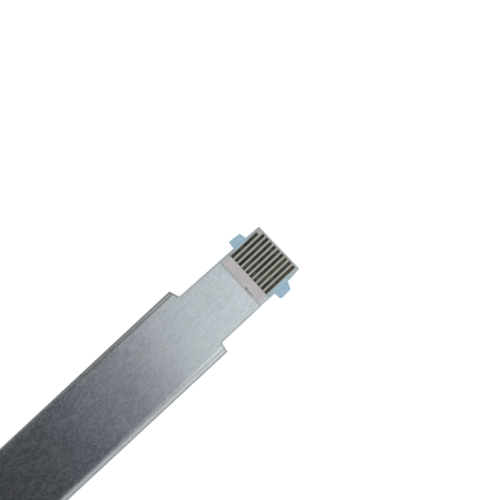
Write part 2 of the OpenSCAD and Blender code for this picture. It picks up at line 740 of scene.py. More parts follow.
@dataclass(frozen=True)
class FoilFinish(Finish):
    """Satin aluminium foil with rolling marks, faint smudges and painted shade along its cut edges.

    Along each side it has a painted highlight on the crown where it leaves the films, painted shade
    in the crease at the foot of its drape, and a bonded flange of a warmer tint with a painted
    highlight along its ridge. Where a place, a share or a gain differs from side to side, the first
    conductor's side comes first.
    """

    smudge: Colour = (0.45, 0.485, 0.55)
    smudged: float = 0.55
    # Painted shade along the cut edges: a darker, duller rim for the contact shadow and the shaded roll-off,
    # strongest on the first side and weaker on the tongue.
    edge: Colour = (0.165, 0.172, 0.172)
    edge_mm: float = 0.20
    edge_share: float = 0.9
    edge_shade_rise: Ramp = (0.05, 0.62, 0.0, 0.93)
    last_edge_shade_rise: Ramp = (0.0, 0.35, 0.0, 0.54)
    last_edge_shade_fall: Ramp = (0.50, 0.80, 1.0, 0.25)
    at_tongue: float = 0.5
    tongue_half: float = 2.87 * MM
    side_ease: float = 0.2 * MM
    middle_ease: float = 0.5 * MM
    # Painted shade along the crease at the foot of each drape, lighter on the last side.
    crease_shade: Colour = (0.76, 0.755, 0.745)
    crease_y: tuple[float, float] = (3.50 * MM, 3.40 * MM)
    crease_half: float = 0.15 * MM
    crease_shade_share: tuple[float, float] = (1.0, 0.70)
    flange: Colour = (0.985, 0.985, 0.915)
    # Painted highlights: a brighter line along each crown and along the flanges' ridge.
    crown_highlight_y: tuple[float, float] = (3.29 * MM, 3.18 * MM)
    highlight_half: float = 0.12 * MM
    crown_highlight_gain: float = 1.22
    ridge_highlight_y: float = 3.58 * MM
    ridge_highlight_gain: tuple[float, float] = (0.13, 0.09)
    line_core: float = 0.3
    streak_share: float = 0.4
    grain_tone: Ramp = (0.40, 0.60, 0.942, 1.058)
    mottle_tone: Ramp = (0.38, 0.62, 0.984, 1.016)
    mottle_gloss: Ramp = (0.38, 0.62, -0.002, 0.002)
    relief: Relief = Relief(0.015, 0.017, 0.7, 0.012 * MM, (0.41, 0.59))

    def surface(self, bench: SurfaceBench) -> Inputs:
        """What the shader is given beyond a plain colour and gloss.

        Args:
            bench: the bench of the material.

        Returns:
            Input name to a value, or to a socket to wire it to.
        """
        across = bench.place["Y"]
        last_flange = bench.ramp(across, -self.tongue_half, -self.tongue_half - self.side_ease, 0.0, 1.0)
        streaks = bench.times(bench.grain(per_metre=2900.0, stretch=2.6, detail=2.0), self.streak_share)
        speckle = bench.grain(per_metre=4300.0, stretch=1.15, detail=2.0)
        grain = bench.plus(streaks, bench.times(speckle, 1.0 - self.streak_share))
        mottle = bench.grain(per_metre=900.0, stretch=1.2, detail=2.0)

        tone = bench.times(bench.ramp(grain, *self.grain_tone), bench.ramp(mottle, *self.mottle_tone))
        tone = self._painted_highlights(bench, tone, last_flange)
        grey = bench.add("CombineColor", {0: tone, 1: tone, 2: tone}).outputs[0]
        toned = bench.blend(1.0, self._tint(bench), grey, "MULTIPLY")
        # Painted shade along the cut edges, which also takes the metal's shine away there.
        rim = bench.times(self._rim_shade(bench, last_flange), self.edge_share)
        given = self.relief.inputs(bench, grain, self.roughness)
        return {
            "Base Color": bench.blend(rim, toned, self.edge),
            "Metallic": bench.minus(1.0, rim),
            "Roughness": bench.plus(given["Roughness"], bench.ramp(mottle, *self.mottle_gloss)),
            "Normal": given["Normal"],
        }

    def _rim_shade(self, bench: SurfaceBench, last_flange: Socket) -> Socket:
        """Mask of the painted shade along the cut edge, which stands a little inwards on the last side's
        flange.

        Args:
            bench: the bench of the material.
            last_flange: mask of the last side's flange.

        Returns:
            How dark the painted edge shade is.
        """
        edge = bench.cut_edge(self.edge_mm)
        past_tongue = (self.tongue_half, self.tongue_half + self.side_ease)
        fade = bench.ramp(bench.size(bench.place["Y"]), *past_tongue, self.at_tongue, 1.0)
        outermost = bench.times(bench.ramp(edge, *self.edge_shade_rise), fade)
        inwards = bench.times(bench.ramp(edge, *self.last_edge_shade_rise), bench.ramp(edge, *self.last_edge_shade_fall))
        return bench.add("Mix", {"Factor": last_flange, "A": outermost, "B": inwards}).outputs[0]

    def _tint(self, bench: SurfaceBench) -> Socket:
        """Colour of the foil with its smudges, the painted shade of its creases, and its flanges.

        Args:
            bench: the bench of the material.

        Returns:
            The colour.
        """
        patches = bench.blotches(per_metre=420.0, low=0.30, high=0.72, shift=0.0)
        tint = bench.blend(bench.times(patches, self.smudged), self.colour, self.smudge)
        # Painted shade along each crease, lighter on the last side.
        crease_shade = self._line(bench, self.crease_y, self.crease_half)
        crease_shade = bench.times(crease_shade, self._by_side(bench, self.crease_shade_share))
        tint = bench.blend(crease_shade, tint, self.crease_shade, "MULTIPLY")
        foot = self.crease_y[1]
        pressed = bench.ramp(bench.size(bench.place["Y"]), foot - self.crease_half, foot, 0.0, 1.0)
        return bench.blend(pressed, tint, self.flange, "MULTIPLY")

    def _painted_highlights(self, bench: SurfaceBench, tone: Socket, last_flange: Socket) -> Socket:
        """A tone brightened by painted highlights along the crowns and the ridges.

        Args:
            bench: the bench of the material.
            tone: the tone of the grain, about one.
            last_flange: mask of the last side's flange.

        Returns:
            The tone.
        """
        # Painted highlights along the crowns and the ridges.
        crown = self._line(bench, self.crown_highlight_y, self.highlight_half)
        tone = bench.times(tone, bench.ramp(crown, 0.0, 1.0, 1.0, self.crown_highlight_gain))
        ridge = bench.near(bench.size(bench.place["Y"]), self.ridge_highlight_y, self.highlight_half, self.line_core)
        gain = bench.ramp(last_flange, 0.0, 1.0, *self.ridge_highlight_gain)
        return bench.plus(tone, bench.times(ridge, gain))

    def _line(self, bench: SurfaceBench, line_y: tuple[float, float], half: float) -> Socket:
        """Mask of a soft line along each side of the cable.

        Args:
            bench: the bench of the material.
            line_y: how far out the line is on each side.
            half: half the line's width.

        Returns:
            One on the line, and nought beside it.
        """
        return bench.near(bench.size(bench.place["Y"]), self._by_side(bench, line_y), half, self.line_core)

    def _by_side(self, bench: SurfaceBench, values: tuple[float, float]) -> Socket:
        """One value on the first conductor's side and another on the last's."""
        return bench.ramp(bench.place["Y"], self.middle_ease, -self.middle_ease, *values)


@dataclass(frozen=True)
class EarShade:
    """The blue of an ear's root, where it shows through the margin of the lower film.

    Its rear and its front are distances back from the cable's tip.
    """

    tip_x: float
    rear: float = 3.15 * MM
    front: float = 1.62 * MM
    colour: Colour = (0.345, 0.51, 0.625)
    strength: float = 0.85
    # How much of the painted shade along the film's cut edge is left over the ear's root.
    rim_shade_left: Ramp = (0.0, 0.9, 1.0, 0.15)
    rear_ease: float = 0.10 * MM
    front_ease: tuple[float, float] = (0.15 * MM, 0.25 * MM)

    def mask(self, bench: SurfaceBench, margin: Socket) -> Socket:
        """How strongly the ear shows.

        Args:
            bench: the bench of the material.
            margin: mask of the margin.

        Returns:
            The strength over the root of an ear, and nought elsewhere.
        """
        along = bench.size(bench.place["X"])
        rear, front = self.tip_x - self.rear, self.tip_x - self.front
        from_rear = bench.ramp(along, rear - self.rear_ease, rear + self.rear_ease, 0.0, 1.0)
        before, after = self.front_ease
        to_front = bench.ramp(along, front - before, front + after, 1.0, 0.0)
        return bench.times(bench.times(bench.times(from_rear, to_front), margin), self.strength)


@dataclass(frozen=True)
class FoilEdgeShadow:
    """Painted shadow on the film ahead of the upper shield's front edge.

    It is a thin dark line, wider along a nick where the edge lifts and widest at a small tick beside
    the nick.
    """

    front_x: float
    width: float = 0.05 * MM
    nick_y: float = -1.09 * MM
    nick_half: float = 0.60 * MM
    nick_core: float = 0.7
    nick_widths: float = 1.8
    nick_strength: float = 0.38
    tick_y: float = -0.74 * MM
    tick_half: float = 0.17 * MM
    tick_core: float = 0.4
    tick_widths: float = 1.6
    tick_strength: float = 0.60
    faintest: float = 0.22
    unevenness: float = 0.28
    fade: Ramp = (0.3, 1.2, 1.0, 0.0)

    def mask(self, bench: SurfaceBench) -> Socket:
        """How strongly the painted shadow shows.

        Args:
            bench: the bench of the material.

        Returns:
            The strength of the line, and nought away from it.
        """
        ahead = bench.minus(bench.size(bench.place["X"]), self.front_x)
        nick = bench.near(bench.place["Y"], self.nick_y, self.nick_half, self.nick_core)
        tick = bench.near(bench.place["Y"], self.tick_y, self.tick_half, self.tick_core)
        width = bench.plus(bench.times(nick, self.nick_widths * self.width), self.width)
        width = bench.plus(width, bench.times(tick, self.tick_widths * self.width))
        line = bench.ramp(bench.math("DIVIDE", ahead, width), *self.fade)
        uneven = bench.blotches(per_metre=2600.0, low=0.3, high=0.7, shift=0.05)
        strength = bench.plus(bench.times(uneven, self.unevenness), self.faintest)
        strength = bench.plus(strength, bench.times(nick, self.nick_strength))
        strength = bench.plus(strength, bench.times(tick, self.tick_strength), clamp=True)
        return bench.times(line, strength)


@dataclass(frozen=True)
class FilmFinish(Finish):
    """Clear polyester film with glue behind it, seen through here and there.

    Beside the conductors its margin has another tint, and the first side's margin has painted shade.
    Painted shade also darkens its cut edges, most on that side, and a painted shadow can lie ahead
    of the upper shield's front edge.
    """

    margin: Colour = (0.44, 0.52, 0.55)
    shade: float = 0.16
    ears: EarShade | None = None
    foil_edge_shadow: FoilEdgeShadow | None = None
    glue: Colour = (0.40, 0.39, 0.36)
    glued: float = 0.35
    # Dark colour of the film's painted shade and of the painted shadow ahead of the upper shield.
    line: Colour = (0.16, 0.16, 0.16)
    row_half: float = 2.46 * MM
    margin_ease: tuple[float, float] = (0.05 * MM, 0.06 * MM)
    shade_ease: tuple[float, float] = (0.2 * MM, 0.1 * MM)
    # Painted shade along the cut edge, stronger on the first side.
    rim_mm: float = 0.08
    rim_shade_strength: tuple[float, float] = (0.22, 0.70)
    relief: Relief = Relief(0.06, 0.08, 0.25, 0.01 * MM)

    def _past_row(self, bench: SurfaceBench, across: Socket, ease: tuple[float, float]) -> Socket:
        """Mask of what is farther out than the conductors, eased in from one distance to another."""
        return bench.ramp(across, self.row_half - ease[0], self.row_half + ease[1], 0.0, 1.0)

    def surface(self, bench: SurfaceBench) -> Inputs:
        """What the shader is given beyond a plain colour and gloss.

        Args:
            bench: the bench of the material.

        Returns:
            Input name to a value, or to a socket to wire it to.
        """
        margin = self._past_row(bench, bench.size(bench.place["Y"]), self.margin_ease)
        shaded = self._past_row(bench, bench.place["Y"], self.shade_ease)
        patches = bench.blotches(per_metre=900.0, low=0.32, high=0.70, shift=0.013)
        tint = bench.blend(bench.times(patches, self.glued), self.colour, self.glue)
        tint = bench.blend(margin, tint, self.margin)
        tint = bench.blend(bench.times(shaded, self.shade), tint, self.line)
        # Painted shade along the cut edges, stronger on the first side.
        rim = bench.times(bench.cut_edge(self.rim_mm), bench.ramp(shaded, 0.0, 1.0, *self.rim_shade_strength))
        if self.ears:
            over_ear = self.ears.mask(bench, margin)
            tint = bench.blend(over_ear, tint, self.ears.colour)
            rim = bench.times(rim, bench.ramp(over_ear, *self.ears.rim_shade_left))
        tint = bench.blend(rim, tint, self.line)
        # Painted shadow ahead of the upper shield's front edge.
        if self.foil_edge_shadow:
            tint = bench.blend(self.foil_edge_shadow.mask(bench), tint, self.line)
        streaks = bench.grain(per_metre=4200.0, stretch=5.0, detail=3.0)
        return {"Base Color": tint, **self.relief.inputs(bench, streaks, self.roughness)}


@dataclass(frozen=True)
class ContactFinish(Finish):
    """Dark tarnished tin over copper, uneven along each contact."""

    worn: Colour = (0.085, 0.080, 0.060)
    worn_least: float = 0.70
    worn_even: float = 0.30
    patina: Colour = (0.016, 0.016, 0.014)
    patina_share: float = 0.7
    metallic: float = 0.85
    relief: Relief = Relief(0.08, 0.10, 0.3, 0.008 * MM)

    def surface(self, bench: SurfaceBench) -> Inputs:
        """What the shader is given beyond a plain colour and gloss.

        Args:
            bench: the bench of the material.

        Returns:
            Input name to a value, or to a socket to wire it to.
        """
        patches = bench.blotches(per_metre=1500.0, low=0.42, high=0.74, shift=0.021)
        dark = bench.blotches(per_metre=2400.0, low=0.40, high=0.66, shift=0.037)
        wear = bench.attribute(CONTACT_WEAR)
        shine = bench.times(patches, bench.ramp(wear, 0.0, 1.0, self.worn_least, 1.0))
        shine = bench.plus(shine, bench.times(wear, self.worn_even), clamp=True)
        tint = bench.blend(bench.times(dark, self.patina_share), self.colour, self.patina)
        streaks = bench.grain(per_metre=9000.0, stretch=7.0, detail=4.0)
        return {
            "Base Color": bench.blend(shine, tint, self.worn),
            "Metallic": self.metallic,
            **self.relief.inputs(bench, streaks, self.roughness),
        }


@dataclass(frozen=True)
class StiffenerFinish(Finish):
    """Pale blue polyester, greyer at its cut edges."""

    edge: Colour = (0.26, 0.36, 0.43)
    edge_mm: float = 0.04
    edge_share: float = 0.55
    deep: Colour = (0.26, 0.42, 0.54)
    deep_share: float = 0.40
    relief: Relief = Relief(0.05, 0.08, 0.2, 0.01 * MM)

    def surface(self, bench: SurfaceBench) -> Inputs:
        """What the shader is given beyond a plain colour and gloss.

        Args:
            bench: the bench of the material.

        Returns:
            Input name to a value, or to a socket to wire it to.
        """
        patches = bench.blotches(per_metre=1100.0, low=0.35, high=0.68, shift=0.009)
        tint = bench.blend(bench.times(patches, self.deep_share), self.colour, self.deep)
        edge = bench.times(bench.cut_edge(self.edge_mm), self.edge_share)
        grain = bench.grain(per_metre=6000.0, stretch=2.0, detail=3.0)
        relief = self.relief.inputs(bench, grain, self.roughness)
        return {"Base Color": bench.blend(edge, tint, self.edge), **relief}


# ---------------------------------------------------------------------------
# Sub-assemblies
# ---------------------------------------------------------------------------


def dress(piece: bpy.types.Object, material: bpy.types.Material, slot: Slot, node: str) -> bpy.types.Object:
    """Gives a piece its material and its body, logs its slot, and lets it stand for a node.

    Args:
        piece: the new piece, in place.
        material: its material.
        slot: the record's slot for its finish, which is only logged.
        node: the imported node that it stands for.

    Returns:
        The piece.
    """
    piece.data.materials.append(material)
    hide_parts(node)
    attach(piece, ROOT)
    LOG.info("%s: %d faces, %s", piece.name, len(piece.data.polygons), slot.value)
    return piece


@dataclass
class Stack:
    """Plan and layer heights that the pieces share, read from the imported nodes.

    The cuts are a little uneven: the tongue tapers on the first conductor's side and runs straight
    on the other as far as a knee near the tip, and the two shoulders lean differently.
    """

    tongue_len: float = 9.865 * MM
    first_halves: tuple[float, float] = (2.865 * MM, 2.625 * MM)
    last_halves: tuple[float, float] = (2.87 * MM, 2.73 * MM)
    first_bulge: float = 0.02 * MM
    last_knee_len: float = 1.20 * MM
    first_lean: float = 0.325 * MM
    last_lean: float = 0.175 * MM
    tip_skew: float = 0.09 * MM
    drape_gap: float = 0.05 * MM
    drape_w: float = 0.44 * MM
    bond_rise: float = 0.030 * MM
    droop: float = 0.195 * MM
    cut: DieCut = field(init=False)

    def __post_init__(self) -> None:
        """Reads the boxes of the nodes."""
        film_low, film_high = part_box("insulation_bottom")
        cover_low, cover_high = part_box("insulation_top")
        _, foil_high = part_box("shield_top")
        self.tip_x = film_high.x
        self.core_half = film_high.y
        self.body_half = foil_high.y
        self.film_low = film_low.z
        self.conductor_low = cover_low.z
        self.conductor_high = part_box("conductor_1")[1].z
        self.cover_high = cover_high.z
        self.foil_t = foil_high.z - cover_high.z
        self.bond = (self.film_low + self.cover_high) / 2 + self.bond_rise
        self.cover_x = cover_high.x
        self.upper_shield_x = foil_high.x
        self.lower_shield_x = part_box("shield_bottom")[1].x
        root_x = self.tip_x - self.tongue_len
        first_root, first_tip = self.first_halves
        last_root, last_tip = self.last_halves
        middle = (self.tip_x + root_x) / 2
        self.cut = DieCut(
            EdgeLine(
                (self.tip_x, first_tip),
                (middle, (first_root + first_tip) / 2 + self.first_bulge),
                (root_x, first_root),
                (root_x - self.first_lean, self.body_half),
            ),
            EdgeLine(
                (self.tip_x, last_tip),
                (self.tip_x - self.last_knee_len, last_root),
                (root_x, last_root),
                (root_x - self.last_lean, self.body_half),
            ),
        )

    def film_reach(self, x: np.ndarray, side: Side) -> np.ndarray:
        """Distance from the middle line to the films' edge at each place along the cable."""
        return np.minimum(self.cut.reach(x, side), self.core_half)

    def inner_face(self, flat: float) -> HeightField:
        """Height of a shield's inner face.

        Args:
            flat: height of the face where it lies on the films.

        Returns:
            The height at any place: flat over the films, draped down to the bond past them, and
            drooping towards the cut edge.
        """

        def height(_: np.ndarray, y: np.ndarray) -> np.ndarray:
            """Height at each point.

            Args:
                _: places along the cable, which make no difference.
                y: places across it.

            Returns:
                The heights.
            """
            past = np.maximum(np.abs(y) - self.core_half, 0.0)
            drape = np.clip((past - self.drape_gap) / self.drape_w, 0.0, 1.0)
            overhang = past / (self.body_half - self.core_half)
            draped = self.bond + (flat - self.bond) * (1 + np.cos(math.pi * drape)) / 2
            return draped - self.droop * overhang**2

        return height


@dataclass
class Shield:
    """One foil shield, pressed over the films and bonded to the other along both flanges.

    Over the films its inner face lies flat, and outward is 1 where the outer face is above it and
    -1 where it is below. The sheet keeps faint ripples, a ridge over each conductor, a shallow dip
    across and rolled off edges, and the front edge of the upper one curls up in a lip.
    """

    stack: Stack
    node: str
    flat: float
    outward: int
    end_x: float
    seed: int
    ripple_h: float = 0.0016 * MM
    ripple_len: tuple[float, float] = (1.6 * MM, 9.0 * MM)
    pitch: float = 0.5 * MM
    ridge_h: float = 0.0003 * MM
    ridge_ease: float = 0.3 * MM
    roll_depth: float = 0.014 * MM
    roll_w: float = 0.045 * MM
    sink: float = 0.006 * MM
    dip_x: float = 19.85 * MM
    dip_h: float = 0.016 * MM
    dip_len: float = 4.0 * MM
    lip_h: float = 0.014 * MM
    lip_len: float = 0.25 * MM
    lip_y: float = -1.05 * MM
    lip_half: float = 0.80 * MM
    flat_step: float = 0.125 * MM
    flat_room: float = 0.05 * MM
    draped_step: float = 0.035 * MM
    body_step: float = 0.45 * MM
    end_insets: tuple[float, ...] = (*RIM_INSETS, 0.11 * MM, 0.16 * MM, 0.22 * MM, 0.30 * MM)

    def _distance(self, x: np.ndarray, y: np.ndarray) -> np.ndarray:
        """Distance of each point from the shield's nearest cut edge."""
        return np.minimum(self.stack.cut.distance(x, y), self.end_x - np.abs(x))

    def _lip(self, x: np.ndarray, y: np.ndarray) -> np.ndarray:
        """How far the front edge at end A curls up beside the middle, on the upper shield.

        Args:
            x: places along the cable.
            y: places across it.

        Returns:
            The rise at each point.
        """
        if self.outward < 0:
            return np.zeros_like(x)
        along = np.clip((x - self.end_x + self.lip_len) / self.lip_len, 0.0, 1.0) ** 2
        across = np.clip(1.0 - np.abs(y - self.lip_y) / self.lip_half, 0.0, 1.0)
        return self.lip_h * along * (3 - 2 * across) * across**2

    def _lines(self) -> np.ndarray:
        """Lines across: even over the films, and close together over the drape and the flange.

        Returns:
            Their distances from the middle line, in order.
        """
        core, body = self.stack.core_half, self.stack.body_half
        flat = spaced(self.flat_step / 2, core - self.flat_room, self.flat_step)
        draped = spaced(core, body - 2 * self.draped_step, self.draped_step)
        return in_order(np.concatenate([flat, draped]))

    def build(self, material: bpy.types.Material) -> bpy.types.Object:
        """Makes and dresses the shield.

        Args:
            material: the foil's material.

        Returns:
            The piece.
        """
        stack, out = self.stack, self.outward
        inner = stack.inner_face(self.flat)
        ripple = Ripple(self.seed, self.ripple_h, *self.ripple_len)

        def outer(x: np.ndarray, y: np.ndarray) -> np.ndarray:
            """Height of the face away from the films.

            Args:
                x: places along the cable.
                y: places across it.

            Returns:
                The heights.
            """
            over_film = np.clip((stack.core_half - np.abs(y)) / self.ridge_ease, 0.0, 1.0)
            ridges = -self.ridge_h * np.cos(math.tau * y / self.pitch) * over_film
            pressed = roll_off(self._distance(x, y), self.roll_depth, self.roll_w)
            dip = self.dip_h * np.exp(-(((np.abs(x) - self.dip_x) / self.dip_len) ** 2))
            swell = ripple(x, y) + ridges - pressed - self.sink - dip
            lip = np.minimum(self._lip(x, y), pressed + self.sink * 0.5)
            return inner(x, y) + out * (stack.foil_t + swell) + lip

        rims = [self.end_x - inset for inset in self.end_insets]
        body = spaced(0.0, rims[-1], self.body_step)
        corners = [s for s in stack.cut.stations() if s < self.end_x]
        faces = (outer, inner) if out > 0 else (inner, outer)
        sheet = ThinSheet(
            self.node.replace("shield_", "foil_shield_"),
            both_ends([*rims, *body, *corners]),
            self._lines(),
            stack.cut.reach,
            *faces,
            self._distance,
        )
        return dress(sheet.object(), material, Slot.FOIL, self.node)


@dataclass
class Films:
    """The two films: the lower one carries the contacts, the upper one is left off over them.

    Glue stands beside each contact as a meniscus, and the upper film is pressed down between the
    conductors along the band where it is bare. The window is the stretch of the contacts.
    """

    stack: Stack
    conductors: list[tuple[Vector, Vector]]
    press: float = 0.008 * MM
    meniscus_h: float = 0.012 * MM
    meniscus_w: float = 0.030 * MM
    roll_depth: float = 0.012 * MM
    roll_w: float = 0.045 * MM
    glue_ease: float = 0.002 * MM
    channel_ease: float = 0.003 * MM
    sag_ease: float = 0.12 * MM
    edge_gaps: tuple[float, ...] = (0.002 * MM, 0.012 * MM, 0.03 * MM)
    line_step: float = 0.1 * MM
    rim_room: float = 0.07 * MM
    inner_step: float = 1.2 * MM
    window_lead: float = 0.2 * MM
    window_step: float = 0.25 * MM
    cover_step: float = 0.001 * MM
    band_lead: float = 0.1 * MM
    band_step: float = 0.08 * MM

    def _edges(self) -> np.ndarray:
        """Distance from the middle line of every conductor's two edges."""
        every = [abs(value) for low, high in self.conductors for value in (low.y, high.y)]
        return in_order(every, 8)

    def _lines(self) -> np.ndarray:
        """Lines across that resolve each conductor's edges.

        Returns:
            Their distances from the middle line, in order.
        """
        near = [edge + gap * way for edge in self._edges() for gap in self.edge_gaps for way in (-1, 1)]
        even = spaced(0.0, self.stack.core_half - self.rim_room, self.line_step)
        return in_order(np.concatenate([np.array(near), even]), 8)

    def _over_conductor(self, y: np.ndarray, ease: float) -> np.ndarray:
        """Mask of the places over a conductor.

        Args:
            y: places across the cable.
            ease: width over which the mask falls off at a conductor's edge.

        Returns:
            One over a conductor, and nought between two.
        """
        inside = np.full(y.shape, -np.inf)
        for low, high in self.conductors:
            half = (high.y - low.y) / 2
            inside = np.maximum(inside, half - np.abs(y - (low.y + high.y) / 2))
        share = np.clip(inside / ease + 0.5, 0.0, 1.0)
        return share * share * (3 - 2 * share)

    def _edge_gap(self, y: np.ndarray) -> np.ndarray:
        """Distance across from each point to the nearest conductor's edge."""
        gaps = [np.abs(np.abs(y) - e) for e in self._edges()]
        return np.minimum.reduce(gaps)

    def build_lower(self, material: bpy.types.Material) -> bpy.types.Object:
        """Makes and dresses the lower film.

        Args:
            material: its material.

        Returns:
            The piece.
        """
        stack = self.stack

        def top(x: np.ndarray, y: np.ndarray) -> np.ndarray:
            """Height of the upper face, with glue creeping up beside each contact.

            Args:
                x: places along the cable.
                y: places across it.

            Returns:
                The heights.
            """
            bare = (np.abs(x) > stack.cover_x) & (self._over_conductor(y, self.glue_ease) < 0.5)
            creep = self.meniscus_h * np.exp(-((self._edge_gap(y) / self.meniscus_w) ** 2))
            pressed = roll_off(stack.cut.distance(x, y), self.roll_depth, self.roll_w)
            return stack.conductor_low + creep * bare - pressed

        def bottom(x: np.ndarray, _: np.ndarray) -> np.ndarray:
            """Height of the flat lower face."""
            return np.full(x.shape, stack.film_low)

        tip = stack.tip_x
        ends = [tip - inset for inset in RIM_INSETS]
        window = spaced(stack.cover_x - self.window_lead, ends[-1], self.window_step)
        inner = spaced(0.0, window[0], self.inner_step)
        step = [stack.cover_x - self.cover_step, stack.cover_x + self.cover_step]
        stations = both_ends([*ends, *window, *inner, *step, *stack.cut.stations()])
        sheet = ThinSheet(
            "lower_film",
            stations,
            self._lines(),
            stack.film_reach,
            top,
            bottom,
            stack.cut.distance,
            stack.tip_skew,
        )
        return dress(sheet.object(), material, Slot.FILM, "insulation_bottom")

    def build_upper(self, material: bpy.types.Material) -> bpy.types.Object:
        """Makes and dresses the upper film, pressed down between the conductors.

        Args:
            material: its material.

        Returns:
            The piece.
        """
        stack = self.stack

        def distance(x: np.ndarray, y: np.ndarray) -> np.ndarray:
            """Distance from the nearest cut edge."""
            return np.minimum(stack.cut.distance(x, y), stack.cover_x - np.abs(x))

        def top(x: np.ndarray, y: np.ndarray) -> np.ndarray:
            """Height of the upper face, a little lower between the conductors where it is bare.

            Args:
                x: places along the cable.
                y: places across it.

            Returns:
                The heights.
            """
            bare = np.clip((np.abs(x) - stack.upper_shield_x) / self.band_lead, 0.0, 1.0)
            between = 1.0 - self._over_conductor(y, self.sag_ease)
            pressed = roll_off(distance(x, y), self.roll_depth, self.roll_w)
            return stack.cover_high - self.press * between * bare - pressed

        def bottom(_: np.ndarray, y: np.ndarray) -> np.ndarray:
            """Height of the lower face, with a channel over each conductor."""
            step = stack.conductor_high - stack.conductor_low
            return stack.conductor_low + step * self._over_conductor(y, self.channel_ease)

        end = stack.cover_x
        ends = [end - inset for inset in RIM_INSETS]
        band = spaced(stack.upper_shield_x - self.band_lead, ends[-1], self.band_step)
        inner = spaced(0.0, band[0], self.inner_step)
        corners = [s for s in stack.cut.stations() if s < end]
        stations = both_ends([*ends, *band, *inner, *corners])
        sheet = ThinSheet("upper_film", stations, self._lines(), stack.film_reach, top, bottom, distance)
        return dress(sheet.object(), material, Slot.FILM, "insulation_top")


@dataclass
class ConductorRow:
    """The flat conductors, whose bare ends are the contacts.

    Each wanders a little across, has its own length and is pressed down at its ends, which stand
    farther back towards the first conductor's side. Two of them are worn more than the rest.
    """

    names: list[str]
    crown: float = 0.004 * MM
    edge_r: float = 0.016 * MM
    wander: float = 0.005 * MM
    uneven_end: float = 0.025 * MM
    end_drop: float = 0.012 * MM
    slant: float = 0.05 * MM
    middle_slant: float = 0.8
    wander_len: tuple[float, float] = (3.1 * MM, 1.1 * MM)
    end_insets: tuple[float, ...] = (0.0, 0.006 * MM, 0.014 * MM, 0.03 * MM)
    bare_len: float = 4.0 * MM
    bare_step: float = 0.12 * MM
    covered_step: float = 2.0 * MM
    crown_at: tuple[float, ...] = (0.0, 0.3, 0.6)
    arc_steps: int = 4
    sharp_deg: float = 50.0
    wear: tuple[float, float] = (0.05, 0.35)
    more_wear: float = 0.6
    worn_most: tuple[str, str] = ("conductor_8", "conductor_10")
    seed: int = 11

    def boxes(self) -> list[tuple[Vector, Vector]]:
        """Lowest and highest corner of every conductor."""
        return [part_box(name) for name in self.names]

    def _section(self, half: float, thick: float) -> list[tuple[float, float]]:
        """Top of the section across, from one lower corner over the crown to the other.

        Args:
            half: half the conductor's width.
            thick: its thickness.

        Returns:
            Places across and heights, from the last side to the first.
        """
        arc = [math.pi / 2 * k / self.arc_steps for k in range(self.arc_steps + 1)]
        rolled = [(self.edge_r * (1 - math.sin(a)), self.edge_r * (1 - math.cos(a))) for a in arc]
        side = [(half - inwards, thick - down) for inwards, down in rolled]
        crowned = [(half * s, thick + self.crown * (1 - s * s)) for s in self.crown_at]
        right = [*crowned, *side, (half, 0.0)]
        return [*[(-y, z) for y, z in right[:0:-1]], *right]

    def _bar(self, name: str, low: Vector, high: Vector, random: np.random.Generator) -> bpy.types.Object:
        """One conductor: a flat bar with rolled edges, a slight crown and pressed down ends.

        Args:
            name: name of the piece.
            low: lowest corner of its node.
            high: highest corner of its node.
            random: source of the small differences between conductors.

        Returns:
            The bar.
        """
        half, middle, thick = (high.y - low.y) / 2, (high.y + low.y) / 2, high.z - low.z
        slant = self.slant * (self.middle_slant + middle / CUT_SPAN)
        front = high.x - random.uniform(0.0, self.uneven_end) - slant
        back = low.x + random.uniform(0.0, self.uneven_end) + slant
        pressed_len = self.end_insets[-1]
        insets = np.array([*self.end_insets, *spaced(pressed_len, self.bare_len, self.bare_step)])
        covered = spaced(front - self.bare_len, back + self.bare_len, self.covered_step)
        stations = in_order([*(front - insets), *covered, *(back + insets)])
        phase = random.uniform(0.0, math.tau, 2)
        section = self._section(half, thick)
        points: list[tuple[float, float, float]] = []
        for x in stations:
            drift = self.wander * math.sin(math.tau * x / self.wander_len[0] + phase[0])
            drift += 0.5 * self.wander * math.sin(math.tau * x / self.wander_len[1] + phase[1])
            near_end = max(0.0, 1.0 - min(front - x, x - back) / pressed_len)
            for y, z in section:
                raised = z > thick / 2
                drop = self.end_drop * near_end**2 if raised else 0.0
                points.append((x, middle + y + (drift if raised else 0.0), low.z + z - drop))
        across = len(section)
        faces: list[tuple[int, ...]] = []
        for i in range(len(stations) - 1):
            for j in range(across):
                a, b = i * across, (i + 1) * across
                k = (j + 1) % across
                faces.append((a + j, b + j, b + k, a + k))
        last = (len(stations) - 1) * across
        faces.append(tuple(range(across)))
        faces.append(tuple(reversed(range(last, last + across))))
        return finished_object(name, new_mesh(name, points, faces), self.sharp_deg)

    def build(self, material: bpy.types.Material) -> list[bpy.types.Object]:
        """Makes and dresses every conductor.

        Args:
            material: the contacts' material.

        Returns:
            The pieces, in the order of their nodes.
        """
        random = np.random.default_rng(self.seed)
        made = []
        for node, (low, high) in zip(self.names, self.boxes()):
            bar = self._bar(f"flat_{node}", low, high, random)
            wear = random.uniform(*self.wear) + (self.more_wear if node in self.worn_most else 0.0)
            mark_points(bar.data, CONTACT_WEAR, np.full(len(bar.data.vertices), wear))
            made.append(dress(bar, material, Slot.CONTACT, node))
        return made


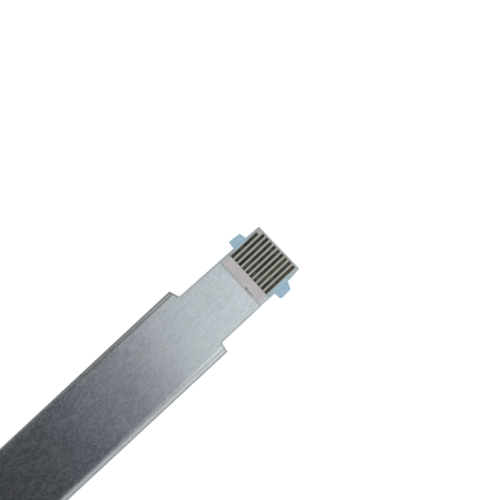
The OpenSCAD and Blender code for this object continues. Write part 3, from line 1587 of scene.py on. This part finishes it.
@dataclass(frozen=True)
class Ear:
    """Plan of one locking ear, by distances back from the tip and out from the middle line."""

    front: float
    rear: float
    front_out: float
    rear_out: float
    front_lean: float
    rear_lean: float
    front_r: float
    rear_r: float
    steps: int = 8

    def outline(self, edge: EdgeLine) -> list[Vector]:
        """Points of the ear from its front root to its rear root, on an edge line.

        Args:
            edge: the side of the tongue that the ear stands on.

        Returns:
            The points, with X and Y positive.
        """
        tip = edge.tip[0]
        roots = np.array([tip - self.front, tip - self.rear])
        halves = edge.reach(roots)
        front_root, rear_root = (Vector((x, y)) for x, y in zip(roots, halves))
        front_corner = Vector((tip - self.front - self.front_lean, self.front_out))
        rear_corner = Vector((tip - self.rear + self.rear_lean, self.rear_out))
        return [
            front_root,
            *fillet(front_root, front_corner, rear_corner, self.front_r, self.steps),
            *fillet(front_corner, rear_corner, rear_root, self.rear_r, self.steps),
            rear_root,
        ]


@dataclass
class Stiffener:
    """The backing of one tongue, with a locking ear on each side.

    The punch left the ear on the first conductor's side sharper than the other. Each ring of the
    section is how far in from the cut edge it lies and how far it drops below the face.
    """

    stack: Stack
    end: End
    first_ear: Ear = Ear(
        front=1.69 * MM,
        rear=3.16 * MM,
        front_out=3.36 * MM,
        rear_out=3.47 * MM,
        front_lean=0.13 * MM,
        rear_lean=0.05 * MM,
        front_r=0.05 * MM,
        rear_r=0.07 * MM,
    )
    last_ear: Ear = Ear(
        front=1.58 * MM,
        rear=3.21 * MM,
        front_out=3.60 * MM,
        rear_out=3.66 * MM,
        front_lean=0.28 * MM,
        rear_lean=0.03 * MM,
        front_r=0.24 * MM,
        rear_r=0.27 * MM,
    )
    rings_mm: tuple[tuple[float, float], ...] = ((0.0, 0.010), (0.004, 0.003), (0.010, 0.0), (0.04, 0.0))
    sharp_deg: float = 55.0

    def _outline(self) -> list[Vector]:
        """Plan of the stiffener at end A.

        Returns:
            The points, anticlockwise from the front corner on the first side.
        """
        low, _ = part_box("stiffener_a")
        cut = self.stack.cut
        halves = []
        for edge, ear in ((cut.first, self.first_ear), (cut.last, self.last_ear)):
            between = [p for p in reversed(edge.points()) if edge.tip[0] - ear.front < p.x < edge.tip[0]]
            behind = [p for p in reversed(edge.points()) if low.x < p.x < edge.tip[0] - ear.rear]
            rear = Vector((low.x, float(edge.reach(np.array([low.x]))[0])))
            halves.append([Vector(edge.tip), *between, *ear.outline(edge), *behind, rear])
        first, last = halves
        return [*first, *[Vector((p.x, -p.y)) for p in reversed(last)]]

    def build(self, material: bpy.types.Material) -> bpy.types.Object:
        """Makes and dresses the stiffener.

        Args:
            material: its material.

        Returns:
            The piece.
        """
        node = f"stiffener_{self.end.name.lower()}"
        low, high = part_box(node)
        outline = self._outline()
        below = [(inset, low.z + rise * MM) for inset, rise in self.rings_mm[:-1]]
        above = [(inset, high.z - drop * MM) for inset, drop in self.rings_mm]
        levels = [*below[::-1], *above]
        count = len(outline)
        points: list[tuple[float, float, float]] = []
        distances: list[float] = []
        for inset, z in levels:
            for p in inset_outline(outline, inset * MM):
                back = float(skewed_by(np.array(p.x), np.array(p.y), self.stack.tip_skew))
                points.append(((p.x - back) * self.end.value, p.y, z))
                distances.append(inset)
        faces: list[tuple[int, ...]] = []
        for level in range(len(levels) - 1):
            for k in range(count):
                a, b = level * count + k, level * count + (k + 1) % count
                faces.append((a, b, b + count, a + count))
        faces.append(tuple(reversed(range(count))))
        faces.append(tuple(range((len(levels) - 1) * count, len(levels) * count)))
        if self.end is End.B:
            faces = [tuple(reversed(f)) for f in faces]
        mesh = new_mesh(f"blue_{node}", points, faces)
        mark_points(mesh, CUT_DISTANCE, distances)
        return dress(finished_object(mesh.name, mesh, self.sharp_deg), material, Slot.STIFFENER, node)


def inset_outline(outline: list[Vector], inset: float, least_spread: float = 0.35) -> list[Vector]:
    """A closed outline moved inwards by an even distance.

    Args:
        outline: the points, anticlockwise.
        inset: how far each side moves in.
        least_spread: what keeps the point of a very sharp corner from moving too far.

    Returns:
        One point for each point of the outline.
    """
    if inset == 0.0:
        return list(outline)
    moved = []
    for k, point in enumerate(outline):
        before, after = outline[k - 1], outline[(k + 1) % len(outline)]
        a, b = (point - before).normalized(), (after - point).normalized()
        inward = Vector((-a.y - b.y, a.x + b.x)).normalized()
        spread = max(least_spread, inward.dot(Vector((-a.y, a.x))))
        moved.append(point + inward * inset / spread)
    return moved


# ---------------------------------------------------------------------------
# Studio
# ---------------------------------------------------------------------------


@dataclass
class Studio:
    """Camera, floor, sky and lamps round the cable."""

    stack: Stack
    view_w: float = 45.96 * MM
    view_h: float = 180.0 * MM
    sensor_mm: float = 36.0
    roll_deg: float = 42.9
    behind_tip: float = 2.16 * MM
    off_axis: float = 1.605 * MM
    clip: tuple[float, float] = (0.01, 10.0)
    floor_z: float = -0.02 * MM
    floor_half: float = 1.5
    floor_grey: float = 0.80
    floor_glow: float = 0.50
    floor_mirrored: float = 0.22
    sky_glow: float = 0.80
    sky_lowest: float = 0.03
    flag_centre: tuple[float, float] = (-0.50, 0.42)
    flag_reach: tuple[float, float] = (0.63, 1.15)
    flag_ramp: tuple[float, float] = (0.81, 1.60)
    flag_far: tuple[float, float] = (-1.0, -0.60)
    flag_grey: float = 0.50
    flag_tint: Colour = (0.985, 0.955, 1.06)
    box_x: tuple[float, float] = (21.4 * MM, 72.0 * MM)
    box_y: tuple[float, float, float] = (-40.0 * MM, 0.5 * MM, 44.0 * MM)
    box_z: float = 38.0 * MM
    box_glow: tuple[float, float] = (1.150, 0.795)
    box_tint: Colour = (0.98, 1.0, 0.925)
    spill_x: tuple[float, float] = (13.4 * MM, 17.8 * MM)
    spill_glow: float = 0.29
    spill_tint: Colour = (0.94, 0.94, 1.12)
    key_place: tuple[float, float, float] = (0.35, -0.45, 0.55)
    key_size: float = 0.5
    key_glow: float = 0.9

    def camera(self) -> None:
        """Looks straight down at end A, with the cable running up to the right."""
        data = bpy.data.cameras.new("camera")
        data.sensor_width = self.sensor_mm
        data.lens = self.sensor_mm * self.view_h / self.view_w
        data.clip_start, data.clip_end = self.clip
        camera = linked("camera", data)
        camera.location = (
            self.stack.tip_x - self.behind_tip,
            self.off_axis,
            self.stack.cover_high + self.view_h,
        )
        camera.rotation_euler = (0.0, 0.0, -math.radians(self.roll_deg))
        bpy.context.scene.camera = camera

    def floor(self) -> None:
        """A plain white table top that keeps the cable's shadow."""
        half = self.floor_half
        corners = [(-half, -half), (half, -half), (half, half), (-half, half)]
        mesh = new_mesh("table_top", [(x, y, self.floor_z) for x, y in corners], [(0, 1, 2, 3)])
        table = linked("table_top", mesh)
        material = bpy.data.materials.new("white table")
        material.use_nodes = True
        bench = NodeBench(material.node_tree)
        path = bench.add("LightPath")
        glow = bench.times(path.outputs["Is Camera Ray"], self.floor_glow)
        glow = bench.plus(glow, bench.times(self._mirroring(bench, path), self.floor_mirrored))
        matte = bench.add("BsdfDiffuse", {"Color": (*[self.floor_grey] * 3, 1.0)})
        lit = bench.add("Emission", {"Color": (*WHITE, 1.0), "Strength": glow})
        both = bench.add("AddShader", {0: matte.outputs[0], 1: lit.outputs[0]})
        bench.add("OutputMaterial", {"Surface": both.outputs[0]})
        mesh.materials.append(material)

    @staticmethod
    def _mirroring(bench: NodeBench, path: bpy.types.Node) -> Socket:
        """One for rays that have been mirrored or have gone through something, and nought for others."""
        return bench.plus(path.outputs["Is Glossy Ray"], path.outputs["Is Transmission Ray"], clamp=True)

    def _flagged(self, bench: NodeBench) -> Socket:
        """Brightness of the sky by heading: nought behind a soft black flag, and one elsewhere.

        Args:
            bench: the bench of the sky's nodes.

        Returns:
            The brightness. The flag's far side fades to a grey first.
        """
        heading = bench.add("SeparateXYZ", {0: bench.add("TexCoord").outputs["Generated"]})
        rise = bench.math("MAXIMUM", heading.outputs["Z"], self.sky_lowest)
        slopes = [bench.math("DIVIDE", heading.outputs[axis], rise) for axis in "XY"]
        offs = [
            bench.math("DIVIDE", bench.minus(slope, centre), reach)
            for slope, centre, reach in zip(slopes, self.flag_centre, self.flag_reach)
        ]
        off = bench.add("CombineXYZ", {0: offs[0], 1: offs[1]}).outputs[0]
        distance = bench.add("VectorMath", {0: off}, operation="LENGTH").outputs["Value"]
        near = bench.ramp(distance, *self.flag_ramp, 0.0, 1.0)
        far = bench.ramp(slopes[0], *self.flag_far, self.flag_grey, 0.0)
        return bench.math("MAXIMUM", near, far)

    def sky(self) -> None:
        """A white surround, with a soft black flag high up on the far side.

        Polished faces show it. Everything else is lit evenly.
        """
        world = bpy.data.worlds.new("studio")
        world.use_nodes = True
        bpy.context.scene.world = world
        bench = NodeBench(world.node_tree)
        path = bench.add("LightPath")
        even = bench.add("Background", {"Color": (*WHITE, 1.0), "Strength": self.sky_glow})
        flagged = self._flagged(bench)
        tint = bench.blend(flagged, self.flag_tint, WHITE)
        mirrored = bench.add("Background", {"Color": tint, "Strength": flagged})
        white = bench.add("Background", {"Color": (*WHITE, 1.0), "Strength": 1.0})
        unseen = bench.add(
            "MixShader", {0: self._mirroring(bench, path), 1: even.outputs[0], 2: mirrored.outputs[0]}
        )
        in_view = path.outputs["Is Camera Ray"]
        every = bench.add("MixShader", {0: in_view, 1: unseen.outputs[0], 2: white.outputs[0]})
        bench.add("OutputWorld", {"Surface": every.outputs[0]})

    def lamps(self) -> None:
        """Soft boxes over end A that only the foil mirrors, and a soft key.

        The main box is dimmer in one half, and a faint spill lies beside it.
        """
        halves = zip(self.box_y, self.box_y[1:], self.box_glow)
        boxes = [(self.box_x, (y0, y1), glow, self.box_tint) for y0, y1, glow in halves]
        boxes.append((self.spill_x, (self.box_y[0], self.box_y[-1]), self.spill_glow, self.spill_tint))
        for number, ((x0, x1), (y0, y1), glow, tint) in enumerate(boxes, 1):
            place = Vector(((x0 + x1) / 2, (y0 + y1) / 2, self.box_z))
            box = self._panel(f"soft_box_{number}", x1 - x0, y1 - y0, glow, place)
            box.visible_diffuse = False
            box.data.color = tint
        key = self._panel("key", self.key_size, self.key_size, self.key_glow, Vector(self.key_place))
        key.rotation_euler = (-key.location).to_track_quat("-Z", "Y").to_euler()
        key.visible_glossy = False

    @staticmethod
    def _panel(name: str, wide: float, deep: float, glow: float, place: Vector) -> bpy.types.Object:
        """A rectangular lamp facing down that no camera sees.

        Args:
            name: name of the lamp.
            wide: size along X.
            deep: size along Y.
            glow: brightness of its face, where 1 is white.
            place: its centre.

        Returns:
            The lamp.
        """
        data = bpy.data.lights.new(name, "AREA")
        data.shape = "RECTANGLE"
        data.size, data.size_y = wide, deep
        data.energy = glow * math.pi * wide * deep
        lamp = linked(name, data)
        lamp.location = place
        lamp.visible_camera = False
        return lamp


# ---------------------------------------------------------------------------
# The whole cable
# ---------------------------------------------------------------------------


def main() -> None:
    logging.basicConfig(level=logging.INFO, format="%(message)s")
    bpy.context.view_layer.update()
    bpy.context.scene.view_settings.view_transform = "Standard"

    stack = Stack()
    studio = Studio(stack)
    studio.camera()
    studio.floor()
    studio.sky()
    studio.lamps()

    effects = Effects()
    foil = FoilFinish("satin foil", (0.480, 0.513, 0.572), roughness=0.301).material(effects)
    lower = FilmFinish(
        "lower film",
        (0.405, 0.410, 0.378),
        roughness=0.35,
        margin=(0.38, 0.46, 0.49),
        ears=EarShade(stack.tip_x),
    ).material(effects)
    upper = FilmFinish(
        "upper film",
        (0.52, 0.485, 0.505),
        roughness=0.30,
        margin=(0.494, 0.548, 0.578),
        shade=0.30,
        foil_edge_shadow=FoilEdgeShadow(stack.upper_shield_x),
    ).material(effects)
    tin = ContactFinish("tarnished tin", (0.030, 0.029, 0.026), roughness=0.42).material(effects)
    blue = StiffenerFinish("blue polyester", (0.345, 0.505, 0.62), roughness=0.38).material(effects)

    names = [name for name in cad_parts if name.startswith(CONDUCTOR)]
    row = ConductorRow(sorted(names, key=lambda name: int(name.removeprefix(CONDUCTOR))))
    contacts = row.build(tin)
    films = Films(stack, row.boxes())
    lower_film = films.build_lower(lower)
    upper_film = films.build_upper(upper)
    top_foil = Shield(
        stack, "shield_top", flat=stack.cover_high, outward=1, end_x=stack.upper_shield_x, seed=5
    ).build(foil)
    bottom_foil = Shield(
        stack, "shield_bottom", flat=stack.film_low, outward=-1, end_x=stack.lower_shield_x, seed=6
    ).build(foil)
    stiffeners = [Stiffener(stack, end).build(blue) for end in End]


if __name__ == "__main__":
    main()
